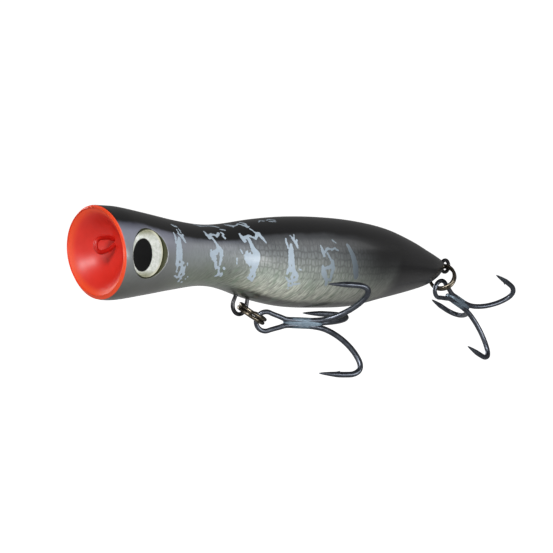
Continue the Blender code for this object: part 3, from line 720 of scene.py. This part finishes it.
# strokes of (x, angle round the section in degrees, half width), then the holes left in them
BARS = [
    ([
        [(24.6, 54, 0.2), (25.6, 50, 0.4), (26.7, 50, 0.3)], [(25.6, 43, 0.2), (25.8, 38, 0.3)],
        [(27.1, 46, 0.2), (27.2, 39, 0.35)], [(23.2, 36, 0.3), (23.3, 28, 0.45), (22.8, 20, 0.4)],
        [(25.4, 36, 0.3), (27.0, 30, 0.75), (28.0, 22, 0.3)], [(27.6, 34, 0.5), (27.0, 29, 0.6)],
        [(25.1, 27, 0.7), (24.3, 18, 1.25), (24.2, 10, 1.55), (24.1, 0, 1.6), (24.2, -9, 1.7)],
        [(25.6, -10, 0.9), (27.0, -17, 1.25), (27.2, -24, 1.2)], [(24.0, -17, 0.45), (24.3, -23, 0.5)],
        [(26.0, -25, 0.5), (26.3, -31, 0.5), (27.5, -34, 0.5), (28.5, -29, 0.6)], [(24.0, -30, 0.25),
         (25.6, -34, 0.4), (27.0, -33, 0.4)], [(27.6, -37, 0.5), (28.3, -38, 0.4)], [(27.7, -42, 0.5),
         (28.1, -43, 0.3)], [(29.6, -45, 0.3), (30.0, -47, 0.4)], [(30.6, -39, 0.2), (30.9, -40, 0.25)],
        [(31.1, -35, 0.15), (31.4, -36, 0.2)], [(28.7, -11, 0.3), (29.0, -14, 0.3)],
    ], [
        [(24.5, -8, 0.35), (24.6, -9, 0.35)], [(27.3, -13, 0.6), (27.6, -14, 0.4)], [(25.0, -17, 0.7),
         (25.1, -21, 0.7)], [(27.2, -28, 0.35), (27.3, -30, 0.3)], [(27.0, -36, 0.3), (27.1, -37, 0.3)],
    ]),
    ([
        [(40.2, 50, 0.25), (40.5, 42, 0.7), (41.3, 36, 0.75)], [(41.4, 38, 0.6), (43.0, 44, 0.5),
         (44.6, 43, 0.35), (45.2, 40, 0.6), (46.9, 48, 0.5)], [(48.3, 49, 0.4), (48.7, 45, 0.5),
         (48.0, 39, 0.3), (48.6, 36, 0.45)], [(41.8, 40, 0.7), (43.1, 31, 0.45), (43.9, 21, 0.6),
         (44.4, 15, 0.9)], [(44.6, 14, 1.0), (45.4, 10, 1.05), (45.6, 2, 0.75), (45.3, -9, 0.6),
         (45.2, -15, 0.6)], [(40.6, 11, 0.4), (41.0, 4, 1.1), (41.9, -2, 1.2), (43.2, -8, 0.8)],
        [(42.0, 7, 0.9), (44.0, 9, 1.1)], [(43.2, -9, 0.6), (43.4, -15, 0.7), (44.0, -23, 0.4)],
        [(43.6, -19, 0.5), (45.2, -20, 0.45)], [(45.2, -20, 0.45), (45.9, -30, 0.45), (46.5, -35, 0.7),
         (47.9, -37, 0.6)], [(46.6, -36, 0.5), (45.4, -40, 0.3)], [(47.6, -21, 0.5), (47.9, -23, 0.55)],
        [(52.7, -2, 0.2), (52.9, -11, 0.25)], [(54.2, 14, 0.2), (55.0, 8, 0.25)], [(47.9, -36, 0.5),
         (47.6, -33, 0.4)], [(56.1, 46, 0.15), (56.4, 45, 0.15)],
    ], [
        [(44.3, 6, 0.4), (43.9, -7, 0.5)], [(44.4, -14, 0.35), (44.6, -16, 0.35)], [(47.2, -37, 0.2),
         (47.3, -38, 0.2)],
    ]),
    ([
        [(55.9, 44, 0.3), (56.4, 37, 0.85), (56.9, 30, 0.7)], [(57.6, 36, 0.8), (59.4, 39, 0.6),
         (61.0, 36, 0.35), (62.0, 34, 0.5), (63.0, 40, 0.7), (64.0, 42, 0.9)], [(64.0, 41, 0.8),
         (65.0, 33, 0.6), (65.7, 27, 0.3)], [(63.4, 43, 0.5), (62.6, 48, 0.3), (61.8, 56, 0.25)],
        [(58.7, 36, 0.6), (59.2, 25, 0.7), (59.8, 14, 1.0)], [(60.3, 12, 1.1), (61.2, 7, 1.35),
         (61.0, -2, 1.35), (60.7, -11, 1.3)], [(57.0, 11, 0.45), (56.8, 3, 1.2), (57.8, -4, 1.4),
         (59.0, -9, 1.1)], [(58.4, 4, 1.2), (60.2, 5, 1.3)], [(59.6, -8, 1.3), (60.4, -20, 1.25),
         (60.7, -28, 1.1)], [(59.4, -33, 0.5), (61.0, -35, 0.5), (61.9, -39, 0.2)], [(60.0, -27, 0.8),
         (60.2, -32, 0.6)], [(61.6, -27, 0.5), (61.5, -34, 0.5)],
    ], [
        [(58.9, 10, 0.35), (59.0, 8, 0.3)], [(58.9, -13, 0.4), (59.0, -15, 0.4)], [(61.0, -28, 0.3),
         (61.0, -30, 0.3)],
    ]),
    ([
        [(75.2, 33, 0.25), (75.1, 27, 0.5), (75.2, 19, 0.4)], [(78.0, 33, 0.3), (79.4, 27, 0.75),
         (79.9, 19, 0.3)], [(80.2, 30, 0.4), (79.5, 26, 0.6)], [(79.8, 38, 0.25), (79.2, 33, 0.35)],
        [(77.8, 37, 0.2), (78.7, 34, 0.3)], [(76.9, 23, 0.6), (76.4, 15, 1.2), (76.3, 6, 1.45),
         (76.4, -2, 1.5), (76.8, -8, 1.5)], [(75.2, -11, 0.6), (75.3, -15, 0.6)], [(77.7, -9, 0.8),
         (78.6, -14, 0.9), (80.0, -17, 0.7), (80.1, -22, 0.6), (78.8, -24, 0.7), (77.6, -20, 0.6),
         (78.0, -15, 0.6)], [(80.1, -8, 0.25), (81.3, -9, 0.3)], [(74.9, -21, 0.2), (76.9, -26, 0.45),
         (78.4, -25, 0.5)], [(78.6, -25, 0.4), (79.1, -31, 0.5), (77.8, -33, 0.5), (77.3, -30, 0.4)],
        [(79.3, -29, 0.4), (80.6, -29, 0.4), (82.3, -27, 0.25)], [(78.0, -36, 0.3), (78.2, -37, 0.3)],
    ], [
        [(76.6, -4, 0.25), (76.6, -5, 0.25)], [(78.9, -19, 0.35), (78.9, -20, 0.35)], [(78.1, -28, 0.3),
         (78.2, -29, 0.3)],
    ]),
    ([
        [(91.4, 23, 0.3), (91.9, 16, 0.8), (92.5, 10, 0.6)], [(92.6, 14, 0.6), (94.6, 19, 0.5),
         (96.9, 18, 0.3), (98.6, 20, 0.4), (100.2, 17, 0.3)], [(98.2, 31, 0.25), (99.8, 27, 0.3)],
        [(94.2, 13, 0.4), (95.9, 5, 0.5)], [(96.8, 3, 0.8), (97.3, -5, 0.95), (97.0, -13, 0.7),
         (97.0, -20, 0.7)], [(91.8, -3, 0.6), (92.6, -10, 1.3), (94.2, -17, 0.9)], [(93.6, -5, 0.6),
         (96.2, -3, 0.8)], [(95.2, -20, 0.9), (95.6, -26, 0.7)],
    ], [
        [(95.5, -9, 0.4), (95.3, -16, 0.4)],
    ]),
    ([
        [(106.0, 24, 0.8), (108.3, 8, 1.3), (109.6, -6, 1.5), (110.6, -15, 1.2)],
    ], []),
    # thin lines over the back
    ([
        [(39.0, 76, 0.3), (40.8, 69, 0.45), (43.0, 71, 0.25), (46.0, 75, 0.3), (47.6, 74, 0.5),
         (49.5, 66, 0.3)], [(49.0, 60, 0.2), (50.8, 56, 0.35)], [(54.0, 78, 0.2), (54.8, 72, 0.4),
         (56.0, 65, 0.3)], [(55.0, 74, 0.5), (56.8, 68, 0.25), (58.3, 69, 0.3), (59.7, 75, 0.3),
         (60.6, 65, 0.5), (61.6, 59, 0.5), (62.6, 61, 0.2)], [(61.4, 79, 0.3), (62.2, 70, 0.5),
         (61.6, 63, 0.5)], [(68.5, 70, 0.2), (70.0, 74, 0.2), (71.5, 72, 0.2)], [(73.0, 73, 0.2),
         (74.5, 76, 0.2), (76.5, 71, 0.25)], [(73.4, 69, 0.2), (76.0, 66, 0.25)],
    ], []),
]


def from_strokes(x, y, strokes):
    """Distance outside the nearest of the strokes, whose points are (x, y, half width)."""
    nearest = np.full(x.shape, 1e3)
    for stroke in strokes:
        for (ax, ay, ar), (bx, by, br) in zip(stroke, stroke[1:]):
            dx, dy = bx - ax, by - ay
            t = np.clip(((x - ax) * dx + (y - ay) * dy) / (dx * dx + dy * dy), 0.0, 1.0)
            gap = np.hypot(x - ax - t * dx, y - ay - t * dy) - (ar + (br - ar) * t)
            nearest = np.minimum(nearest, gap)
    return nearest


def inside_faces(x, y, field):
    """Points and faces of the area of a grid where the field is below zero."""
    points, faces, known = [], [], {}

    def corner(i, j):
        return known.setdefault((i, j), len(known)), (x[i, j], y[i, j])

    def crossing(i, j, k, m):
        key = (min((i, j), (k, m)), max((i, j), (k, m)))
        (i, j), (k, m) = key
        t = field[i, j] / (field[i, j] - field[k, m])
        place = (x[i, j] + t * (x[k, m] - x[i, j]), y[i, j] + t * (y[k, m] - y[i, j]))
        return known.setdefault(key, len(known)), place

    below = field < 0
    busy = below[:-1, :-1] | below[1:, :-1] | below[:-1, 1:] | below[1:, 1:]
    for i, j in np.argwhere(busy):
        square = ((i, j), (i + 1, j), (i + 1, j + 1), (i, j + 1))
        loop = []
        for a, b in zip(square, square[1:] + square[:1]):
            if below[a]:
                loop.append(corner(*a))
            if below[a] != below[b]:
                loop.append(crossing(*a, *b))
        for number, place in loop:
            while len(points) <= number:
                points.append(None)
            points[number] = place
        if len(loop) > 2:
            faces.append([number for number, _ in loop])
    return points, faces


def bars(side, word):
    """Thin patches of light paint that follow the body's side."""
    vertices, faces = [], []
    for strokes, holes in BARS:
        middle = np.mean([p[0] for stroke in strokes for p in stroke])
        top, bottom, _ = outline(middle)
        degree = math.radians(float(top + bottom) / 2)

        def flat(lines):
            return [[(px, angle * degree, half) for px, angle, half in line] for line in lines]

        spots = np.array([p for stroke in flat(strokes) for p in stroke])
        low, high = spots[:, :2].min(axis=0) - 2.0, spots[:, :2].max(axis=0) + 2.0
        x, y = np.meshgrid(*(np.arange(a, b, BAR_GRID) for a, b in zip(low, high)), indexing="ij")
        field = from_strokes(x, y, flat(strokes))
        if holes:
            field = np.maximum(field, -from_strokes(x, y, flat(holes)))
        for k in np.ndindex(x.shape):
            if abs(field[k]) < 0.6:
                place = Vector((x[k], y[k], 0.0))
                field[k] += 0.26 * noise.noise(place * 1.1) + 0.16 * noise.noise(place * 2.7)
        points, patches = inside_faces(x, y, field)
        points = np.array(points)
        base, count = len(vertices), len(points)
        for inset in (-BAR_THICKNESS, 0.0):
            vertices += on_body(points[:, 0], np.radians(points[:, 1] / degree), side, inset).tolist()
        edges = {}
        for face in patches:
            faces.append([base + k for k in face])
            faces.append([base + count + k for k in reversed(face)])
            for a, b in zip(face, face[1:] + face[:1]):
                edges[(a, b)] = (b, a) not in edges
                if not edges[(a, b)]:
                    edges[(b, a)] = False
        for (a, b), rim in edges.items():
            if rim:
                faces.append([base + b, base + a, base + count + a, base + count + b])
    mesh = grid_mesh(f"light_bars_{word}", vertices, faces)
    new_object(f"light_bars_{word}", mesh, "lure_body", marks, smooth=False)


for side, word in SIDES:
    bars(side, word)


# ---- mouth cup ----
CUP_RIM, CUP_EDGE = 14.25, 0.28
# radius and depth
BOWL = [(0.0, 8.0), (3.3, 7.6), (6.0, 6.7), (8.1, 5.3), (9.7, 3.7), (11.0, 2.3), (12.2, 1.2), (13.15, 0.5),
        (13.75, 0.15)]
CUP_BACK = [(13.8, 1.2), (12.7, 1.9), (11.5, 3.0), (10.2, 4.4), (8.6, 6.0), (6.5, 7.4), (3.8, 8.3),
            (0.0, 8.7)]
MOUTH_AXIS = Matrix.Rotation(math.radians(-90) - MOUTH_SLANT, 4, "Y") @ Matrix.Translation((0.0, 0.0, LIP))


def mouth_cup():
    bowl = smooth_line([(r, 0.0, -d) for r, d in BOWL], 0.35)
    profile = [(p.x, p.z) for p in bowl]
    for k in (50, 30, 10, -10, -30, -50, -80):
        a = math.radians(k)
        profile.append((CUP_RIM + CUP_EDGE * (math.cos(a) - 1), CUP_EDGE * math.sin(a) - 0.1))
    profile += [(r, -d) for r, d in CUP_BACK]
    mesh = turned_mesh("cup", profile, MOUTH_AXIS, steps=120)
    cup = new_object("cup", mesh, "lure_body", red)
    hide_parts("mouth_cup")


mouth_cup()


# ---- eyes ----
EYE_EDGE, EYE_CORNER = 7.5, 0.2
EYE_BASE, EYE_DOME = 0.55, 0.35  # height of the disc over the socket's floor, and of the dome over its edge


def eye_pieces(side, word):
    """The printed disc with its low dome, as one turned piece."""
    origin, along, up, out = eye_axes(side)
    place = Matrix.Translation(Vector(origin)) @ Matrix(
        [[along[k] * -side, up[k], out[k]] for k in range(3)]).to_4x4()
    profile = [(r, EYE_BASE) for r in (0.0, 2.5, 5.0, 7.4)]
    for k in (-60, -20, 20, 60, 90):
        a = math.radians(k)
        profile.append((EYE_EDGE + EYE_CORNER * math.cos(a), EYE_BASE + EYE_CORNER * (1 + math.sin(a))))
    for k in range(1, 13):
        share = 1 - k / 12
        profile.append((EYE_EDGE * share, EYE_BASE + 2 * EYE_CORNER + EYE_DOME * (1 - share**2)))
    mesh = turned_mesh(f"eye_lens_{word}", profile, place, steps=72)
    dome = new_object(f"eye_lens_{word}", mesh, "lure_body", eye_paint(word))
    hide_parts(f"eye_dome_{word}")


for side, word in SIDES:
    eye_pieces(side, word)


# ---- through wire ----
WIRE = 1.5
TIE_LOOP, TIE_NARROW, TIE_STRETCH = 2.35, 2.0, 3.0
TIE_RISE, TIE_NECK = 12.0, 6.2
LEG_GAP = 1.75                   # between the centre lines of two runs of wire side by side
HANGER_X, HANGER_Z, HANGER_LOOP = 65.6, -17.0, 3.4
TAIL_X, TAIL_Z, TAIL_LOOP = 182.7, -0.8, 2.45


def arc(x, z, radius, start, end, count):
    angles = [math.radians(start + (end - start) * k / (count - 1)) for k in range(count)]
    return [(x + radius * math.cos(a), z + radius * math.sin(a)) for a in angles]


def through_wire():
    rise = math.radians(TIE_RISE)
    root_x, root_z = TIE_X + TIE_NECK * math.cos(rise), TIE_Z + TIE_NECK * math.sin(rise)
    back_x, back_z = TIE_X + TIE_STRETCH * math.cos(rise), TIE_Z + TIE_STRETCH * math.sin(rise)
    dx, dz = -math.sin(rise) * LEG_GAP / 2, math.cos(rise) * LEG_GAP / 2
    tie = ([(16.0, root_z + 0.2 - LEG_GAP / 2), (9.6, root_z + 0.3 - LEG_GAP / 2), (root_x - dx, root_z - dz)]
           + arc(back_x, back_z, TIE_NARROW, TIE_RISE - 42, TIE_RISE - 88, 4)
           + arc(TIE_X, TIE_Z, TIE_LOOP, TIE_RISE - 100, TIE_RISE - 260, 13)
           + arc(back_x, back_z, TIE_NARROW, TIE_RISE + 88, TIE_RISE + 42, 4)
           + [(root_x + dx, root_z + dz), (9.6, root_z + 0.45 + LEG_GAP / 2)])
    hanger = [(61.8, -8.0), (63.6, -12.6)] + arc(HANGER_X, HANGER_Z, HANGER_LOOP, 150, 350, 14)
    hanger += [(69.3, -15.0), (70.2, -11.6), (72.4, -9.6)]
    upper, lower = TAIL_Z + LEG_GAP / 2, TAIL_Z - LEG_GAP / 2
    flat = (tie + [(20.0, 4.6), (36.0, 1.6), (52.0, 0.6), (58.5, -3.0)] + hanger
            + [(76.5, -9.5), (82.0, -5.5), (100.0, -1.2), (130.0, 0.2), (160.0, 0.2), (170.0, upper)]
            + [(179.0, upper)] + arc(TAIL_X, TAIL_Z, TAIL_LOOP, 140, -140, 17)
            + [(179.0, lower), (171.0, lower), (164.0, lower)])
    path = smooth_line([(x, 0.0, z) for x, z in flat], 0.5)
    mesh = grid_mesh("spine_wire", *sweep(path, lambda s, total: WIRE / 2, sides=20))
    wire = new_object("spine_wire", mesh, "lure_body", wire_finish)
    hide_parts("through_wire")


through_wire()


# ---- split rings and trebles ----
RING_WIRE, RING_DIAMETER, COIL_PITCH = 1.35, 11.6, 1.43
RING_RADIUS = (RING_DIAMETER - RING_WIRE) / 2
HOOK_WIRE, HOOK_EYE, HOOK_SHANK = 2.1, 3.5, 7.6
# distance from the eye's centre along the shank, and out from it
HOOK_BEND = [(18.0, 1.3), (22.5, 2.3), (27.3, 5.0), (31.0, 8.4), (33.4, 11.8), (34.5, 14.8), (34.0, 17.0),
             (31.9, 18.4), (28.5, 18.8), (18.8, 18.6)]
HOOK_POINT = 7.0                 # length over which a point is ground thin
EYE_THIN, EYE_REACH = 0.16, 15.0  # how much thinner the wire is round the eye, and how far to each side
EYE_SLACK, LEG_CLEARANCE = 0.7, 0.06
BARB_BACK = 6.4                  # from the tip to the barb
# along the point, height of the sliver's top, half its width and height of its root
BARB = [(3.4, 0.45, 0.10, 0.30), (2.0, 0.62, 0.20, 0.42), (0.6, 0.85, 0.26, 0.50), (-0.9, 1.22, 0.16, 0.86),
        (-1.7, 1.52, 0.04, 1.36)]
# distance from the eye's centre, and size of the brazed filler there
BRAZE = [(6.6, 0.1), (6.9, 0.55), (7.5, 0.82), (8.4, 0.96), (10.0, 1.0), (14.0, 1.0), (17.5, 1.0),
         (19.0, 0.96), (20.0, 0.86), (20.8, 0.6), (21.1, 0.15)]
BRAZE_REACH = 0.93               # of the wire's radius
# a point on the ring's inner side, the way from it to the centre, and the way across the ring
BELLY_RING = ((66.0, 0.3, -17.3), (0.6, -0.62, -0.51), (0.719, 0.694, 0.0))
TAIL_RING = ((182.65, 0.0, -0.9), (-0.44, -0.14, -0.89), (-0.35, 0.94, 0.0))


def ring_axes(inner, run, lie):
    run = Vector(run).normalized()
    lie = Vector(lie)
    lie = (lie - run * run.dot(lie)).normalized()
    return Vector(inner) + run * RING_RADIUS, run, lie, run.cross(lie)


def split_ring(place, axes):
    centre, run, lie, normal = axes
    path = []
    steps = 260
    for k in range(steps + 1):
        angle = 125.0 + 650.0 * k / steps
        share = min(1.0, max(0.0, (angle - 450.0) / 56.0 + 0.5))
        lift = COIL_PITCH / 2 * math.cos(math.pi * share)
        a = math.radians(angle)
        path.append(centre + run * RING_RADIUS * math.cos(a) + lie * RING_RADIUS * math.sin(a)
                    + normal * lift)
    mesh = grid_mesh(f"{place}_ring", *sweep(path, lambda s, total: RING_WIRE / 2, sides=18))
    ring = new_object(f"{place}_ring", mesh, f"{place}_ring", ring_finish)
    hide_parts(f"{place}_split_ring")


def treble(place, axes, yaw, pitch, roll):
    centre, run, _, _ = axes
    yaw, pitch = math.radians(yaw), math.radians(pitch)
    shank = Vector((math.cos(pitch) * math.cos(yaw), -math.cos(pitch) * math.sin(yaw), -math.sin(pitch)))
    side = shank.cross(Vector((0, 0, 1))).normalized()
    rise = side.cross(shank)
    eye = centre + run * RING_RADIUS + shank * EYE_SLACK
    spread = [math.radians(roll + 120 * k) for k in range(3)]
    outward = [side * math.sin(a) - rise * math.cos(a) for a in spread]
    across = (outward[1] - outward[0]).normalized()
    half_gap = HOOK_WIRE / 2 + LEG_CLEARANCE
    third_leg = outward[2] * math.sqrt((HOOK_WIRE + 2 * LEG_CLEARANCE + 0.02) ** 2 - half_gap**2)

    def bend(leg, out):
        return [eye + leg + shank * s + out * (r - HOOK_BEND[0][1]) for s, r in HOOK_BEND]

    turn = [math.radians(a) for a in range(60, 301, 12)]
    loop = [eye + shank * HOOK_EYE * math.cos(a) + across * HOOK_EYE * math.sin(a) for a in turn]
    neck = [[eye + shank * 5.2 + across * 1.9 * k, eye + shank * HOOK_SHANK + across * half_gap * k]
            for k in (1, -1)]
    double = (list(reversed(bend(across * half_gap, outward[1]))) + list(reversed(neck[0])) + loop + neck[1]
              + bend(-across * half_gap, outward[0]))
    path = smooth_line(double, 0.4)

    def tapered(both):
        def radius(s, total):
            left = min(s, total - s) if both else total - s
            thin = EYE_THIN * max(0.0, 1.0 - (abs(s - total / 2) / EYE_REACH) ** 4) if both else 0.0
            return HOOK_WIRE / 2 * min(1.0 - thin, 0.04 + 0.96 * (min(left, HOOK_POINT) / HOOK_POINT) ** 0.62)
        return radius

    pieces = [sweep(path, tapered(True), sides=22, round_ends=(False, False))]
    pieces += [barb(path, shank, end) for end in (0, 1)]
    mesh = grid_mesh(f"{place}_hook_pair", *joined(pieces))
    pair = new_object(f"{place}_hook_pair", mesh, f"{place}_hook", hook_finish)
    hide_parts(f"{place}_treble_double")

    path = smooth_line([eye + shank * HOOK_SHANK + third_leg] + bend(third_leg, outward[2]), 0.4)
    pieces = [sweep(path, tapered(False), sides=22, round_ends=(True, False)), barb(path, shank, 1)]
    mesh = grid_mesh(f"{place}_hook_single", *joined(pieces))
    single = new_object(f"{place}_hook_single", mesh, f"{place}_hook", hook_finish)
    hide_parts(f"{place}_treble_single")
    brazing(place, eye, shank, (across * half_gap, -across * half_gap, third_leg))


def barb(path, shank, end):
    """A sliver raised from the inner side of a point, with its tip towards the bend."""
    line = path if end else list(reversed(path))
    run, k = 0.0, len(line) - 1
    while run < BARB_BACK:
        run += (line[k] - line[k - 1]).length
        k -= 1
    root = line[k]
    forward = (line[k + 4] - line[k - 4]).normalized()
    centre = line[len(line) // 2]
    inward = shank.cross(forward).cross(forward).normalized()
    if inward.dot(centre - root) < 0:
        inward = -inward
    wide = forward.cross(inward)
    vertices = []
    for s, high, half, low in BARB:
        middle = root + forward * s
        vertices += [middle + inward * low - wide * half, middle + inward * high - wide * half * 0.4,
                     middle + inward * high + wide * half * 0.4, middle + inward * low + wide * half]
    faces = [(0, 1, 2, 3), tuple(reversed([len(vertices) - 4 + i for i in range(4)]))]
    for r in range(len(BARB) - 1):
        for c in range(4):
            n = (c + 1) % 4
            faces.append((r * 4 + c, r * 4 + 4 + c, r * 4 + 4 + n, r * 4 + n))
    return vertices, faces


def brazing(place, eye, shank, legs):
    """The filler between the three legs, a little below their outer sides."""
    middle = (legs[0] + legs[1] + legs[2]) / 3
    section = []
    for k, leg in enumerate(legs):
        for t in range(5):
            before, after = legs[k - 1], legs[(k + 1) % 3]
            n0 = -((leg + before) / 2 - middle).normalized()
            n1 = -((leg + after) / 2 - middle).normalized()
            direction = (n0 * (1 - t / 4) + n1 * (t / 4)).normalized()
            section.append((leg - middle) - direction * HOOK_WIRE / 2 * BRAZE_REACH)
    count = len(section)
    vertices, faces, rows = [], [], []
    for s, size in BRAZE:
        rows.append(list(range(len(vertices), len(vertices) + count)))
        vertices += [eye + shank * s + middle + p * size for p in section]
    for a, b in zip(rows, rows[1:]):
        for k in range(count):
            faces.append((a[k], a[(k + 1) % count], b[(k + 1) % count], b[k]))
    faces += [tuple(reversed(rows[0])), tuple(rows[-1])]
    mesh = grid_mesh(f"{place}_braze", vertices, faces)
    new_object(f"{place}_braze", mesh, f"{place}_hook", braze_finish)


belly_axes, tail_axes = ring_axes(*BELLY_RING), ring_axes(*TAIL_RING)
split_ring("belly", belly_axes)
treble("belly", belly_axes, 31.0, 0.5, 22.0)
split_ring("tail", tail_axes)
treble("tail", tail_axes, 1.0, 22.5, 24.0)


# ---- inner pieces keep their CAD shape ----
for names, finish in (
    (("eye_backing_left", "eye_backing_right", "reflector_left", "reflector_right"), foil_finish),
    (("belly_ballast", "tail_ballast"), lead_finish),
    (("rattle_ball_front", "rattle_ball_rear"), ball_finish),
):
    for name in names:
        for slot in frame["nodes"][name].material_slots:
            slot.material = finish


# ---- floor, light and camera ----
def pale():
    """White to the camera and a soft grey to the light, so that the floor doesn't fill the shadows."""
    g = Graph("floor", roughness=0.9)
    x, y, _ = g.object_mm()
    shade = g.mix(g.noise(x * 0.004, y * 0.004), linear(248, 248, 248), linear(252, 252, 252))
    seen = g.out(g.new("ShaderNodeLightPath"), "Is Camera Ray")
    return g.use(Base_Color=g.mix(seen, linear(190, 190, 190), shade), Emission_Color=shade,
                 Emission_Strength=seen * 1.02)


def floor():
    bm = bmesh.new()
    bmesh.ops.create_grid(bm, x_segments=8, y_segments=8, size=6.0)
    mesh = bpy.data.meshes.new("floor")
    bm.to_mesh(mesh)
    bm.free()
    obj = linked("floor", mesh)
    obj.location = (0.1, 0.0, -0.17)
    mesh.materials.append(pale())


def area_light(name, place, target, size, power):
    data = bpy.data.lights.new(name, "AREA")
    data.shape = "RECTANGLE"
    data.size, data.size_y = size
    data.energy = power
    light = linked(name, data)
    light.location = place
    light.rotation_euler = (Vector(target) - Vector(place)).to_track_quat("-Z", "Y").to_euler()


def studio():
    world = bpy.data.worlds.new("studio")
    bpy.context.scene.world = world
    world.use_nodes = True
    tree = world.node_tree
    background = tree.nodes["Background"]
    seen = tree.nodes.new("ShaderNodeLightPath")
    strength = tree.nodes.new("ShaderNodeMix")
    strength.inputs[2].default_value = 0.15  # to the surfaces
    strength.inputs[3].default_value = 1.05  # to the camera
    tree.links.new(seen.outputs["Is Camera Ray"], strength.inputs[0])
    tree.links.new(strength.outputs[0], background.inputs["Strength"])
    background.inputs["Color"].default_value = (1.0, 1.0, 1.0, 1.0)
    middle = (0.09, 0.0, 0.0)
    area_light("key", (-0.8, -0.45, 0.42), middle, (0.3, 0.3), 6.5)
    area_light("front", (-0.9, 0.1, -0.1), middle, (0.4, 0.5), 1.8)
    area_light("low", (0.1, -0.85, -0.02), middle, (0.8, 0.26), 3.6)
    area_light("sheen", (0.62, -0.4, 0.37), middle, (0.3, 0.2), 0.12)
    area_light("far", (0.05, 0.9, 0.2), middle, (0.8, 0.5), 5.0)


def camera():
    data = bpy.data.cameras.new("camera")
    data.sensor_width = 36.0
    data.lens = 97.65
    data.clip_start, data.clip_end = 0.01, 50.0
    cam = linked("camera", data)
    azimuth, elevation, roll = math.radians(-46.0), math.radians(1.5), math.radians(2.9)
    back = Vector((math.sin(azimuth) * math.cos(elevation), -math.cos(azimuth) * math.cos(elevation),
                   math.sin(elevation)))
    right = Vector((math.cos(azimuth), math.sin(azimuth), 0.0))
    up = back.cross(right)
    right = math.cos(roll) * right + math.sin(roll) * up
    up = back.cross(right)
    turn = Matrix((right, up, back)).transposed().to_4x4()
    cam.matrix_world = Matrix.Translation((-0.30916, -0.37793, 0.00544)) @ turn
    bpy.context.scene.camera = cam


floor()
studio()
camera()
bpy.context.scene.view_settings.view_transform = "Standard"
